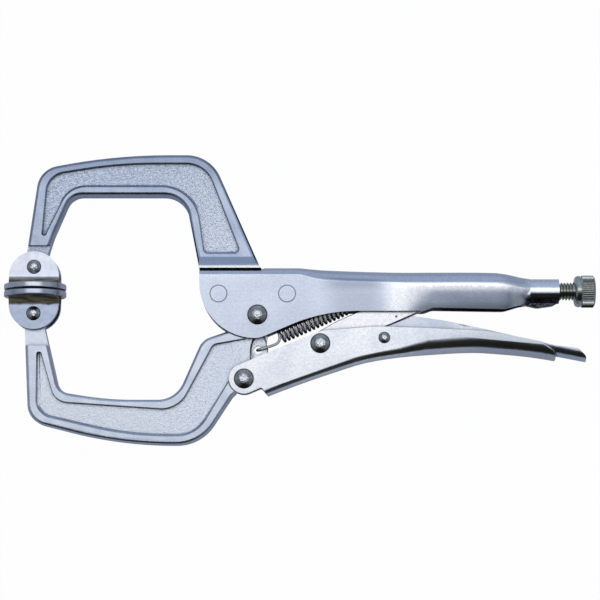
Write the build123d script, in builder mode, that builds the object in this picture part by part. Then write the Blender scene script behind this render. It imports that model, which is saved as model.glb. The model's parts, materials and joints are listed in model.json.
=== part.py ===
"""Locking C-clamp pliers with swivel pads, in millimetres.

The tool lies flat. X runs from the pads to the adjusting screw, Y from the lower
jaw to the upper jaw and Z along the rivets. Every place below is counted from the
jaw pivot, at mid thickness. DATUM puts that pivot where the whole tool rests on
Z = 0 with its box centred on the origin.
"""
import math
import os

from build123d import *

# forged jaws
ARM_THICK = 11.0
ARM_EDGE = 1.7
POCKET_FLOOR = 6.4
ARM_TOP = 76.8
ARM_BOTTOM = -61.4
THROAT_ROOF = 57.2
THROAT_FLOOR = -40.1
TIP_THICK = 7.4
TIP_RADIUS = 5.0
TIP_STEP_UP = 33.2
TIP_STEP_DOWN = -14.6
SHOULDER_TOP = 27.6
SHOULDER_FOOT = 23.8
WEB_THICK = 7.0
EYE_RADIUS = 9.4
LUG_RADIUS = 6.7
TAB_RADIUS = 4.75
TAB_THICK = 3.2
TAB_HOLE_RADIUS = 1.9
TAB_STEP_RADIUS = 9.0

# clearances
SIDE_PLAY = 0.2
PIN_PLAY = 0.05
RIB_GAP = 0.6

# pivots
HANDLE_PIVOT = (-6.3, -30.2)
LINK_PIVOT = (29.7, -13.5)
LEVER_PIVOT = (59.9, -10.8)
LINK_HEEL = (87.5, 11.7)
SPRING_TAB = (0.3, -16.2)
FRONT_JAW_RIVET = (-18.4, 10.0)
REAR_JAW_RIVET = (14.0, 10.0)
SCREW_Y = 11.7

# upper handle
SHEET = 2.0
CHEEK_GAP = 9.0
CHEEK_TOP = 22.5
CHEEK_BEND = 3.8
CHEEK_FRONT = -27.5
CHEEK_LOW = -11.1
CHEEK_ROUND = 26.5
ROOF_START = 3.0
GRIP_HALF = 8.9
GRIP_TUCK = 1.3
TUCK_KNEE = 10.4
TUCK_END = 0.8
CURL_KNEE = 6.4
CURL_END = 5.7
TUBE_RADIUS = 5.85
TUBE_START = 127.0
TUBE_END = 142.9
SEAM_WIDTH = 0.7
LIP_DROP = 2.2
LIP_THICK = 3.4

# lower handle
LOWER_SHEET = 1.8
EAR_RADIUS = 7.0
LOWER_GRIP_HALF = 7.8

# release lever
LEVER_SHEET = 1.3
LEVER_GAP = 0.7
LEVER_TAIL_HALF = 5.5
LEVER_NOSE = 4.6
NOSE_START = 26.0
NOSE_END = 45.5

# toggle link
LINK_THICK = 6.6
LINK_HALF = 4.9
LINK_BACK = 6.8

# adjusting screw
SCREW_RADIUS = 4.2
SCREW_TIP_GAP = 2.2
HEAD_GAP = 7.5
HEAD_LENGTH = 9.9
HEAD_START = TUBE_END + HEAD_GAP
HEAD_END = HEAD_START + HEAD_LENGTH
HEAD_RADIUS = 7.65
HEAD_COLLAR = 3.0

# rivets
PIVOT_SHANK = 3.2
PIVOT_HEAD = 4.7
PIVOT_DOME = 1.5
JAW_RIVET_RADIUS = 4.0
LEVER_SHANK = 1.9
LEVER_HEAD = 2.75
LEVER_DOME = 0.9
PAD_SHANK = 2.2
PAD_HEAD = 3.4
PAD_DOME = 1.2

# swivel pads
PAD_X = -105.7
PAD_RADIUS = 14.75
PAD_DISC = 2.7
PAD_RISE = 10.5
PAD_SPLIT = 1.1
EAR_THICK = 2.5
EAR_HALF = 11.75
EAR_CENTRE = 6.2
EAR_ROOT = 3.6
RIM_EDGE = 0.5
RIM_LAND = 0.9

# tension spring
WIRE_RADIUS = 0.65
COIL_RADIUS = 3.3
COIL_TURNS = 16
COIL_FRONT = (10.4, -9.6)
COIL_REAR = (41.5, 4.1)
SPRING_ANCHOR = (52.5, 8.7)
HOOK_RADIUS = 2.5
HOOK_TAIL = 1.6
ANCHOR_THICK = 2.4
ANCHOR_HALF = 4.2

PIVOT_X = -(PAD_X - PAD_RADIUS + HEAD_END) / 2
PIVOT_Y = -(ARM_TOP + ARM_BOTTOM) / 2
PIVOT_Z = PAD_RADIUS
DATUM = Plane(origin=(PIVOT_X, PIVOT_Y, PIVOT_Z))

CHEEK_HALF = CHEEK_GAP / 2
CHEEK_OUT = CHEEK_HALF + SHEET
LOWER_HALF = WEB_THICK / 2 + SIDE_PLAY
LOWER_OUT = LOWER_HALF + LOWER_SHEET
PAD_EAR_IN = TIP_THICK / 2 + SIDE_PLAY
PAD_EAR_OUT = PAD_EAR_IN + EAR_THICK
UPPER_PAD_Y = SCREW_Y + PAD_SPLIT / 2 + PAD_RISE
LOWER_PAD_Y = SCREW_Y - PAD_SPLIT / 2 - PAD_RISE
CORNER_MID = 1 - math.sqrt(0.5)
REACH = 60.0


def section_at(x):
    """Plane across the tool at a distance from the jaw pivot; its own X is minus Z."""
    return Plane(origin=(PIVOT_X + x, PIVOT_Y, PIVOT_Z), x_dir=(0, 0, -1), z_dir=(1, 0, 0))


def rounded_outline(corners):
    """Closed outline of straight edges; each corner is (x, y, radius)."""
    starts = []
    ends = []
    count = len(corners)
    for i in range(count):
        x, y, radius = corners[i]
        here = Vector(x, y)
        back = (Vector(corners[i - 1][0], corners[i - 1][1]) - here).normalized()
        ahead_corner = corners[(i + 1) % count]
        ahead = (Vector(ahead_corner[0], ahead_corner[1]) - here).normalized()
        if radius == 0:
            starts.append(here)
            ends.append(here)
            continue
        half = math.radians(back.get_angle(ahead)) / 2
        start = here + back * (radius / math.tan(half))
        end = here + ahead * (radius / math.tan(half))
        middle = here + (back + ahead).normalized() * (radius / math.sin(half) - radius)
        ThreePointArc(start, middle, end)
        starts.append(start)
        ends.append(end)
    for i in range(count):
        if (starts[(i + 1) % count] - ends[i]).length > 1e-6:
            Line(ends[i], starts[(i + 1) % count])


def channel_outline(half, crown, corner, mouth):
    """Section of a channel: rounded at the crown, straight down or up to its mouth."""
    side = math.copysign(1, crown - mouth)
    bend = crown - side * corner
    nick = corner * CORNER_MID
    Line((-half, mouth), (-half, bend))
    ThreePointArc((-half, bend), (-half + nick, crown - side * nick), (-half + corner, crown))
    Line((-half + corner, crown), (half - corner, crown))
    ThreePointArc((half - corner, crown), (half - nick, crown - side * nick), (half, bend))
    Line((half, bend), (half, mouth))
    Line((half, mouth), (-half, mouth))


def tucked_outline(half, crown, corner, tuck, knee, low):
    """Section of the upper handle: rounded at the crown, walls bent in at a knee by tuck down to low."""
    nick = corner * CORNER_MID
    for side in (-1, 1):
        Bezier((side * half, crown - corner), (side * half, knee), (side * (half - tuck), low))
        Line((side * (half - tuck), low), (side * (half - tuck), UPPER_MOUTH))
        ThreePointArc(
            (side * half, crown - corner),
            (side * (half - nick), crown - nick),
            (side * (half - corner), crown),
        )
    Line((corner - half, crown), (half - corner, crown))
    Line((tuck - half, UPPER_MOUTH), (half - tuck, UPPER_MOUTH))


def along(start, end, run, rise):
    """Point at a run along the line from start to end and a rise to its left."""
    length = math.hypot(end[0] - start[0], end[1] - start[1])
    ux = (end[0] - start[0]) / length
    uy = (end[1] - start[1]) / length
    return (start[0] + ux * run - uy * rise, start[1] + uy * run + ux * rise)


def cap_middle(edge_radius, edge, top):
    """Middle of a spherical cap's arc, from its edge to its top on the axis."""
    rise = top - edge
    ball = (edge_radius * edge_radius + rise * rise) / (2 * rise)
    half = math.asin(edge_radius / abs(ball)) / 2
    return (abs(ball) * math.sin(half), top - ball + ball * math.cos(half))


def rivet_profile(shank, head, dome, seat):
    """Half section of a rivet with a domed head on each side, seats at plus and minus seat."""
    top = seat + dome
    shoulder = seat + 0.25 * dome
    bulge = cap_middle(head, shoulder, top)
    Line((0, top), (0, -top))
    ThreePointArc((0, -top), (bulge[0], -bulge[1]), (head, -shoulder))
    Polyline((head, -shoulder), (head, -seat), (shank, -seat), (shank, seat), (head, seat), (head, shoulder))
    ThreePointArc((head, shoulder), bulge, (0, top))


def pivot_plane(place):
    """Plane through a rivet's axis, for a half section turned about Z."""
    return Plane(origin=DATUM.from_local_coords((place[0], place[1], 0)), x_dir=(1, 0, 0), z_dir=(0, -1, 0))


def pivot_axis(place):
    return Axis(DATUM.from_local_coords((place[0], place[1], 0)), (0, 0, 1))


UPPER_ARM = [
    (PAD_X - TIP_RADIUS, UPPER_PAD_Y - TIP_RADIUS, TIP_RADIUS * 0.9),
    (-110.1, UPPER_PAD_Y + 2.0, 12),
    (-103.9, 69.9, 11.5),
    (-68.0, ARM_TOP, 270),
    (-22.5, ARM_TOP, 17.5),
    (1.3, CHEEK_TOP, 0),
    (2.6, SHOULDER_FOOT - 4.0, 0),
    (-27.2, SHOULDER_FOOT - 4.0, 0),
    (-27.7, CHEEK_TOP, 0),
    (-34.6, THROAT_ROOF, 12),
    (-88.6, THROAT_ROOF, 8),
    (-97.2, 37.0, 40),
    (PAD_X + TIP_RADIUS, UPPER_PAD_Y + 2.0, 8),
    (PAD_X + TIP_RADIUS, UPPER_PAD_Y - TIP_RADIUS, TIP_RADIUS * 0.9),
]
UPPER_POCKET = [
    (-103.2, 31.0, 1.3),
    (-100.3, 67.4, 10),
    (-66.0, ARM_TOP - 3.8, 220),
    (-24.6, ARM_TOP - 3.8, 14),
    (-7.4, SHOULDER_TOP + 1.4, 2.5),
    (-25.6, SHOULDER_TOP + 1.4, 2.5),
    (-30.3, THROAT_ROOF + 3.8, 18),
    (-89.2, THROAT_ROOF + 3.8, 12),
    (-99.0, 41.0, 40),
]
TANG = [
    (-27.6, CHEEK_TOP + 0.2, 0),
    (-26.9, 13.0, 12),
    (-23.4, 3.4, 3),
    (0, 0.6, 0),
    (19.6, 3.6, 3),
    (19.6, CHEEK_TOP - CHEEK_BEND, 2),
    (ROOF_START - SIDE_PLAY, CHEEK_TOP - CHEEK_BEND, 0),
    (1.6, CHEEK_TOP + 0.2, 0),
]
LOWER_ARM = [
    (PAD_X - TIP_RADIUS, LOWER_PAD_Y + TIP_RADIUS, TIP_RADIUS * 0.9),
    (PAD_X + TIP_RADIUS, LOWER_PAD_Y + TIP_RADIUS, TIP_RADIUS * 0.9),
    (-100.7, -6.0, 12),
    (-93.4, -36.4, 7),
    (-70.0, THROAT_FLOOR, 150),
    (-38.4, THROAT_FLOOR, 13),
    (-26.0, -11.8, 9),
    (-6.0, -5.0, 0),
    (3.5, -9.0, 0),
    (-2.0, -28.0, 0),
    (-6.0, -33.0, 0),
    (-11.8, -38.8, 3),
    (-26.5, ARM_BOTTOM, 21),
    (-64.2, ARM_BOTTOM, 200),
    (-107.8, -50.2, 10.5),
    (-110.0, -6.0, 25),
]
LOWER_POCKET = [
    (-104.2, -9.8, 1.3),
    (-95.0, -40.8, 8),
    (-37.6, THROAT_FLOOR - 4.6, 13),
    (-21.0, -13.7, 4),
    (6.0, -9.0, 0),
    (6.0, -38.0, 0),
    (-11.6, -29.0, 0),
    (-28.6, ARM_BOTTOM + 3.9, 16),
    (-60.0, ARM_BOTTOM + 3.9, 160),
    (-104.3, -47.2, 9),
]
CHEEK_SIDE = [
    (CHEEK_FRONT, 40.0, 0),
    (CHEEK_FRONT, CHEEK_LOW, CHEEK_ROUND),
    (0.9, CHEEK_LOW, 11),
    (31.1, 1.8, 80),
    (79.0, 1.8, 5),
    (83.0, 3.3, 5),
    (117.0, 2.7, 8),
    (124.0, 4.6, 8),
    (129.0, 5.0, 0),
    (129.0, 40.0, 0),
]
EAR_LEFT_TOP = along(HANDLE_PIVOT, (HANDLE_PIVOT[0] + 23.0, HANDLE_PIVOT[1] + 9.9), -EAR_RADIUS, EAR_RADIUS)
EAR_LEFT_LOW = along(HANDLE_PIVOT, (HANDLE_PIVOT[0] + 23.0, HANDLE_PIVOT[1] + 9.9), -EAR_RADIUS, -EAR_RADIUS)
EAR_LOW_END = along(HANDLE_PIVOT, (HANDLE_PIVOT[0] + 23.0, HANDLE_PIVOT[1] + 9.9), 6.0, -EAR_RADIUS)
LOWER_SIDE = [
    (EAR_LEFT_TOP[0], EAR_LEFT_TOP[1], EAR_RADIUS * 0.99),
    (EAR_LEFT_LOW[0], EAR_LEFT_LOW[1], EAR_RADIUS * 0.99),
    (EAR_LOW_END[0], EAR_LOW_END[1], 1.0),
    (5.2, -38.2, 0),
    (8.0, REACH * -0.8, 0),
    (150.0, REACH * -0.8, 0),
    (140.9, -22.5, 0.5),
    (140.6, -17.6, 5),
    (134.8, -13.0, 8),
    (110.0, -8.0, 60),
    (58.0, -5.4, 90),
    (29.2, -7.6, 26),
]

# outside of each folded sheet: distance from the pivot, half width, crown, bend radius;
# the upper handle's walls also have how far they are drawn in, at which knee and down to where
UPPER_KEYS = [
    (20.0, CHEEK_OUT, CHEEK_TOP, CHEEK_BEND, 0, TUCK_KNEE, TUCK_END),
    (31.0, CHEEK_OUT, CHEEK_TOP - 0.8, 5.6, 0, TUCK_KNEE, TUCK_END),
    (65.0, CHEEK_OUT + 0.3, CHEEK_TOP - 1.9, 5.9, 0.1, TUCK_KNEE, TUCK_END),
    (81.0, GRIP_HALF - 0.2, CHEEK_TOP - 2.1, 6.2, GRIP_TUCK * 0.8, TUCK_KNEE, TUCK_END),
    (98.0, GRIP_HALF, CHEEK_TOP - 2.1, 6.2, GRIP_TUCK, TUCK_KNEE, TUCK_END),
    (113.0, GRIP_HALF - 0.1, CHEEK_TOP - 2.3, 6.1, GRIP_TUCK, TUCK_KNEE, TUCK_END),
    (122.0, GRIP_HALF - 1.6, CHEEK_TOP - 3.7, 5.8, GRIP_TUCK + 0.4, TUCK_KNEE - 1.4, TUCK_END + 1.6),
    (125.5, TUBE_RADIUS + 0.65, SCREW_Y + TUBE_RADIUS + 0.5, 5.8, GRIP_TUCK + 1.8, CURL_KNEE + 1.2, CURL_END - 1.6),
    (129.0, TUBE_RADIUS + 0.15, SCREW_Y + TUBE_RADIUS + 0.15, 5.7, TUBE_RADIUS - 1.35, CURL_KNEE, CURL_END),
]
LOWER_KEYS = [
    (-18.0, LOWER_OUT, -48.6, 3.4),
    (5.0, LOWER_OUT, -38.2, 3.4),
    (24.0, LOWER_OUT, -31.0, 3.4),
    (37.6, LOWER_OUT, -26.4, 3.6),
    (51.5, LOWER_OUT, -22.2, 3.8),
    (67.0, LOWER_OUT, -19.7, 4.2),
    (80.0, LOWER_GRIP_HALF - 0.2, -18.6, 6.6),
    (102.0, LOWER_GRIP_HALF, -17.5, 7.0),
    (116.0, LOWER_GRIP_HALF, -18.3, 7.0),
    (129.0, LOWER_GRIP_HALF, -19.6, 7.0),
    (146.0, LOWER_GRIP_HALF, -22.4, 7.0),
]
LEVER_KEYS = [
    (52.0, LOWER_HALF - SIDE_PLAY, -16.6, 2.4),
    (66.0, LOWER_HALF - SIDE_PLAY, -15.6, 2.4),
    (86.0, LEVER_TAIL_HALF - 0.1, -15.0, 4.6),
    (100.0, LEVER_TAIL_HALF, -14.9, 4.8),
    (116.0, LEVER_TAIL_HALF, -15.5, 4.8),
    (129.0, LEVER_TAIL_HALF, -17.1, 4.8),
    (142.0, LEVER_TAIL_HALF, -19.4, 4.8),
    (160.0, LEVER_TAIL_HALF, -22.9, 4.8),
]
UPPER_MOUTH = -30.0
LOWER_MOUTH = 20.0
STATION_STEP = 5.5


def smooth_stations(keys):
    """Stations about STATION_STEP apart on smooth curves through the keys, flat where keys are equal."""
    slopes = []
    for i in range(len(keys)):
        slope = []
        for item in range(1, len(keys[i])):
            if i == 0 or i == len(keys) - 1:
                j = max(i - 1, 0)
                slope.append((keys[j + 1][item] - keys[j][item]) / (keys[j + 1][0] - keys[j][0]))
                continue
            before = (keys[i][item] - keys[i - 1][item]) / (keys[i][0] - keys[i - 1][0])
            after = (keys[i + 1][item] - keys[i][item]) / (keys[i + 1][0] - keys[i][0])
            slope.append(2 * before * after / (before + after) if before * after > 0 else 0)
        slopes.append(slope)
    stations = [keys[0]]
    for i in range(len(keys) - 1):
        width = keys[i + 1][0] - keys[i][0]
        count = max(1, round(width / STATION_STEP))
        for k in range(1, count + 1):
            t = k / count
            station = [keys[i][0] + width * t]
            for item in range(len(keys[i]) - 1):
                start = keys[i][item + 1]
                end = keys[i + 1][item + 1]
                rise = end - start
                bend = slopes[i][item] * width - rise
                unbend = rise - slopes[i + 1][item] * width
                station.append(start + rise * t + t * (1 - t) * ((1 - t) * bend + t * unbend))
            stations.append(tuple(station))
    return stations


UPPER_STATIONS = smooth_stations(UPPER_KEYS)
LOWER_STATIONS = smooth_stations(LOWER_KEYS)
LEVER_STATIONS = smooth_stations(LEVER_KEYS)

os.makedirs("parts", exist_ok=True)

with BuildPart() as upper_recess:
    with BuildSketch(DATUM.offset(ARM_THICK / 2)):
        with BuildLine():
            rounded_outline(UPPER_POCKET)
        make_face()
    extrude(amount=-(ARM_THICK - POCKET_FLOOR) / 2, taper=14)

# fixed arm: full thickness with rolled edges, stepped down at the pad and at the tang
with BuildPart() as upper_jaw:
    with BuildSketch(DATUM):
        with BuildLine():
            rounded_outline(UPPER_ARM)
        make_face()
    extrude(amount=ARM_THICK / 2, both=True)
    fillet(upper_jaw.faces().filter_by(Axis.Z).edges(), ARM_EDGE)
    add(upper_recess.part, mode=Mode.SUBTRACT)
    add(mirror(upper_recess.part, about=DATUM, mode=Mode.PRIVATE), mode=Mode.SUBTRACT)
    for side in (1, -1):
        with BuildSketch(DATUM.offset(side * TIP_THICK / 2)):
            with Locations((PAD_X, TIP_STEP_UP)):
                Rectangle(REACH / 2, REACH, align=(Align.CENTER, Align.MAX))
        extrude(amount=side * ARM_THICK, mode=Mode.SUBTRACT)
        with BuildSketch(section_at(0)):
            with BuildLine():
                Polyline(
                    (side * ARM_THICK / 2, SHOULDER_TOP),
                    (side * CHEEK_HALF, SHOULDER_FOOT),
                    (side * CHEEK_HALF, 0),
                    (side * ARM_THICK, 0),
                    (side * ARM_THICK, SHOULDER_TOP),
                    close=True,
                )
            make_face()
        extrude(amount=REACH * 0.75, both=True, mode=Mode.SUBTRACT)
    with BuildSketch(DATUM):
        with BuildLine():
            rounded_outline(TANG)
        make_face()
        Circle(EYE_RADIUS + 1.0, mode=Mode.SUBTRACT)
    extrude(amount=CHEEK_HALF, both=True)
    with BuildSketch(DATUM):
        with Locations(FRONT_JAW_RIVET, REAR_JAW_RIVET):
            Circle(JAW_RIVET_RADIUS)
    extrude(amount=REACH, both=True, mode=Mode.SUBTRACT)
    with BuildSketch(DATUM):
        with Locations((PAD_X, UPPER_PAD_Y)):
            Circle(PAD_SHANK + PIN_PLAY)
    extrude(amount=REACH, both=True, mode=Mode.SUBTRACT)
upper_jaw.part.label = "upper_jaw"

# inside of the upper handle's fold, cut from the outside below
with BuildPart() as upper_cavity:
    with BuildSketch(section_at(UPPER_STATIONS[0][0])):
        with BuildLine():
            tucked_outline(CHEEK_HALF, CHEEK_TOP - SHEET, CHEEK_BEND - SHEET, 0, TUCK_KNEE, TUCK_END)
        make_face()
    extrude(amount=-REACH)
    for x, half, crown, corner, tuck, knee, low in UPPER_STATIONS[:-1]:
        tuck_in = min(tuck, GRIP_TUCK)
        with BuildSketch(section_at(x)):
            with BuildLine():
                tucked_outline(half - SHEET, crown - SHEET, corner - SHEET, tuck_in, TUCK_KNEE, TUCK_END)
            make_face()
    loft(ruled=True)
    with BuildSketch(section_at(ROOF_START)):
        Rectangle(CHEEK_GAP, 2 * REACH)
    extrude(amount=-REACH)

with BuildPart() as upper_handle:
    with BuildSketch(section_at(UPPER_STATIONS[0][0])):
        with BuildLine():
            tucked_outline(CHEEK_OUT, CHEEK_TOP, CHEEK_BEND, 0, TUCK_KNEE, TUCK_END)
        make_face()
    extrude(amount=-REACH)
    for x, half, crown, corner, tuck, knee, low in UPPER_STATIONS:
        with BuildSketch(section_at(x)):
            with BuildLine():
                tucked_outline(half, crown, corner, tuck, knee, low)
            make_face()
    loft(ruled=True)
    with BuildSketch(DATUM):
        with BuildLine():
            rounded_outline(CHEEK_SIDE)
        make_face()
    extrude(amount=REACH, both=True, mode=Mode.INTERSECT)
    with BuildSketch(section_at(TUBE_START)):
        with Locations((0, SCREW_Y)):
            Circle(TUBE_RADIUS)
    extrude(amount=TUBE_END - TUBE_START)
    with BuildSketch(DATUM):
        with BuildLine():
            rounded_outline([
                (TUBE_START - 1.0, SCREW_Y, 0),
                (TUBE_START - 1.0, SCREW_Y - TUBE_RADIUS - 0.8, 0),
                (TUBE_START + 5.5, SCREW_Y - TUBE_RADIUS - LIP_DROP, 4),
                (TUBE_END - 3.0, SCREW_Y - TUBE_RADIUS - 1.2, 4),
                (TUBE_END, SCREW_Y - TUBE_RADIUS + 0.6, 0),
                (TUBE_END, SCREW_Y, 0),
            ])
        make_face()
    extrude(amount=LIP_THICK / 2, both=True)
    add(upper_cavity.part, mode=Mode.SUBTRACT)
    with BuildSketch(section_at(TUBE_START - 12)):
        with Locations((0, SCREW_Y)):
            Circle(SCREW_RADIUS + PIN_PLAY)
    extrude(amount=REACH, mode=Mode.SUBTRACT)
    with BuildSketch(section_at(TUBE_START - 12)):
        Rectangle(SEAM_WIDTH, 2 * SCREW_Y, align=(Align.CENTER, Align.CENTER))
    extrude(amount=REACH, mode=Mode.SUBTRACT)
    with BuildSketch(DATUM):
        with Locations(FRONT_JAW_RIVET, REAR_JAW_RIVET):
            Circle(JAW_RIVET_RADIUS)
        with Locations((0, 0)):
            Circle(PIVOT_SHANK)
    extrude(amount=REACH, both=True, mode=Mode.SUBTRACT)
    with BuildSketch(DATUM):
        with Locations(SPRING_ANCHOR):
            Circle(ANCHOR_HALF)
            Rectangle(2 * ANCHOR_HALF, CHEEK_TOP - 2.2 - SPRING_ANCHOR[1], align=(Align.CENTER, Align.MIN))
            Circle(TAB_HOLE_RADIUS, mode=Mode.SUBTRACT)
    extrude(amount=ANCHOR_THICK / 2, both=True)
upper_handle.part.label = "upper_handle"

with BuildPart() as jaw_rivets:
    with BuildSketch(DATUM):
        with Locations(FRONT_JAW_RIVET, REAR_JAW_RIVET):
            Circle(JAW_RIVET_RADIUS)
    extrude(amount=CHEEK_OUT, both=True)
jaw_rivets.part.label = "jaw_rivets"

with BuildPart() as jaw_pivot_rivet:
    with BuildSketch(pivot_plane((0, 0))):
        with BuildLine():
            rivet_profile(PIVOT_SHANK, PIVOT_HEAD, PIVOT_DOME, CHEEK_OUT)
        make_face()
    revolve(axis=pivot_axis((0, 0)))
jaw_pivot_rivet.part.label = "jaw_pivot_rivet"

with BuildPart() as lower_recess:
    with BuildSketch(DATUM.offset(ARM_THICK / 2)):
        with BuildLine():
            rounded_outline(LOWER_POCKET)
        make_face()
    extrude(amount=-(ARM_THICK - POCKET_FLOOR) / 2, taper=14)

# moving arm: thin web all over, full thickness where its rims stand clear of the handles
with BuildPart() as lower_jaw:
    with BuildSketch(DATUM):
        with BuildLine():
            rounded_outline(LOWER_ARM)
        make_face()
    extrude(amount=ARM_THICK / 2, both=True)
    fillet(lower_jaw.faces().filter_by(Axis.Z).edges(), ARM_EDGE)
    add(lower_recess.part, mode=Mode.SUBTRACT)
    add(mirror(lower_recess.part, about=DATUM, mode=Mode.PRIVATE), mode=Mode.SUBTRACT)
    for side in (1, -1):
        with BuildSketch(DATUM.offset(side * TIP_THICK / 2)):
            with Locations((PAD_X, TIP_STEP_DOWN)):
                Rectangle(REACH / 2, REACH, align=(Align.CENTER, Align.MIN))
        extrude(amount=side * ARM_THICK, mode=Mode.SUBTRACT)
        with BuildSketch(DATUM.offset(side * WEB_THICK / 2)):
            with BuildLine():
                rounded_outline([
                    (CHEEK_FRONT - RIB_GAP, REACH, 0),
                    (CHEEK_FRONT - RIB_GAP, CHEEK_LOW - RIB_GAP, CHEEK_ROUND + RIB_GAP),
                    (REACH, CHEEK_LOW - RIB_GAP, 0),
                    (REACH, REACH, 0),
                ])
            make_face()
            with Locations(HANDLE_PIVOT):
                Circle(EAR_RADIUS + RIB_GAP)
            with Locations((HANDLE_PIVOT[0] + 1.0, -8.0)):
                Rectangle(REACH, REACH, align=(Align.MIN, Align.MAX))
        extrude(amount=side * ARM_THICK, mode=Mode.SUBTRACT)
    with BuildSketch(DATUM):
        with BuildLine():
            rounded_outline([
                (-12.0, -6.6, 0),
                (5.2, -7.0, 0),
                (3.4, -21.0, 2),
                (HANDLE_PIVOT[0] + 5.0, HANDLE_PIVOT[1] - 1.0, 0),
                (HANDLE_PIVOT[0] - 5.0, HANDLE_PIVOT[1] - 2.0, 0),
            ])
        make_face()
        Circle(EYE_RADIUS)
        with Locations(HANDLE_PIVOT):
            Circle(LUG_RADIUS)
        with Locations(SPRING_TAB):
            Circle(TAB_RADIUS)
    extrude(amount=WEB_THICK / 2, both=True)
    for side in (1, -1):
        with BuildSketch(DATUM.offset(side * TAB_THICK / 2)):
            with Locations((SPRING_TAB[0] + TAB_STEP_RADIUS - 3.7, SPRING_TAB[1])):
                Circle(TAB_STEP_RADIUS)
            Circle(EYE_RADIUS, mode=Mode.SUBTRACT)
        extrude(amount=side * ARM_THICK, mode=Mode.SUBTRACT)
    with BuildSketch(DATUM):
        Circle(EYE_RADIUS)
    extrude(amount=CHEEK_HALF - SIDE_PLAY, both=True)
    with BuildSketch(DATUM):
        Circle(PIVOT_SHANK + PIN_PLAY)
        with Locations(HANDLE_PIVOT):
            Circle(PIVOT_SHANK + PIN_PLAY)
        with Locations(SPRING_TAB):
            Circle(TAB_HOLE_RADIUS)
        with Locations((PAD_X, LOWER_PAD_Y)):
            Circle(PAD_SHANK + PIN_PLAY)
    extrude(amount=REACH, both=True, mode=Mode.SUBTRACT)
lower_jaw.part.label = "lower_jaw"

with BuildPart() as handle_pivot_rivet:
    with BuildSketch(pivot_plane(HANDLE_PIVOT)):
        with BuildLine():
            rivet_profile(PIVOT_SHANK, PIVOT_HEAD, PIVOT_DOME, LOWER_OUT)
        make_face()
    revolve(axis=pivot_axis(HANDLE_PIVOT))
handle_pivot_rivet.part.label = "handle_pivot_rivet"

with BuildPart() as lower_handle:
    for x, half, crown, corner in LOWER_STATIONS:
        with BuildSketch(section_at(x)):
            with BuildLine():
                channel_outline(half, crown, corner, LOWER_MOUTH)
            make_face()
    loft(ruled=True)
    with BuildSketch(DATUM):
        with BuildLine():
            rounded_outline(LOWER_SIDE)
        make_face()
    extrude(amount=REACH, both=True, mode=Mode.INTERSECT)
    with BuildPart(mode=Mode.SUBTRACT):
        for x, half, crown, corner in LOWER_STATIONS:
            with BuildSketch(section_at(x)):
                with BuildLine():
                    channel_outline(half - LOWER_SHEET, crown + LOWER_SHEET, corner - LOWER_SHEET, LOWER_MOUTH)
                make_face()
        loft(ruled=True)
    with BuildSketch(DATUM):
        with Locations(HANDLE_PIVOT, LINK_PIVOT):
            Circle(PIVOT_SHANK)
        with Locations(LEVER_PIVOT):
            Circle(LEVER_SHANK)
    extrude(amount=REACH, both=True, mode=Mode.SUBTRACT)
lower_handle.part.label = "lower_handle"

with BuildPart() as link_pivot_rivet:
    with BuildSketch(pivot_plane(LINK_PIVOT)):
        with BuildLine():
            rivet_profile(PIVOT_SHANK, PIVOT_HEAD, PIVOT_DOME, LOWER_OUT)
        make_face()
    revolve(axis=pivot_axis(LINK_PIVOT))
link_pivot_rivet.part.label = "link_pivot_rivet"

# strut from the lower handle to the screw's tip
LINK_LENGTH = math.hypot(LINK_HEEL[0] - LINK_PIVOT[0], LINK_HEEL[1] - LINK_PIVOT[1])
LINK_CORNERS = [
    (-5.4, -LINK_HALF, LINK_HALF),
    (LINK_LENGTH + LINK_HALF, -LINK_HALF, LINK_HALF * 0.98),
    (LINK_LENGTH + LINK_HALF, LINK_HALF, LINK_HALF * 0.98),
    (LINK_LENGTH - 14.0, LINK_HALF, 20),
    (30.0, LINK_BACK, 30),
    (12.0, LINK_BACK, 14),
    (-5.4, LINK_HALF, LINK_HALF),
]
with BuildPart() as toggle_link:
    with BuildSketch(DATUM):
        with BuildLine():
            rounded_outline([(*along(LINK_PIVOT, LINK_HEEL, u, v), r) for u, v, r in LINK_CORNERS])
        make_face()
        with Locations(LINK_PIVOT):
            Circle(PIVOT_SHANK + PIN_PLAY, mode=Mode.SUBTRACT)
    extrude(amount=LINK_THICK / 2, both=True)
    fillet(toggle_link.faces().filter_by(Axis.Z).edges().filter_by(GeomType.LINE), 0.5)
toggle_link.part.label = "toggle_link"

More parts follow.
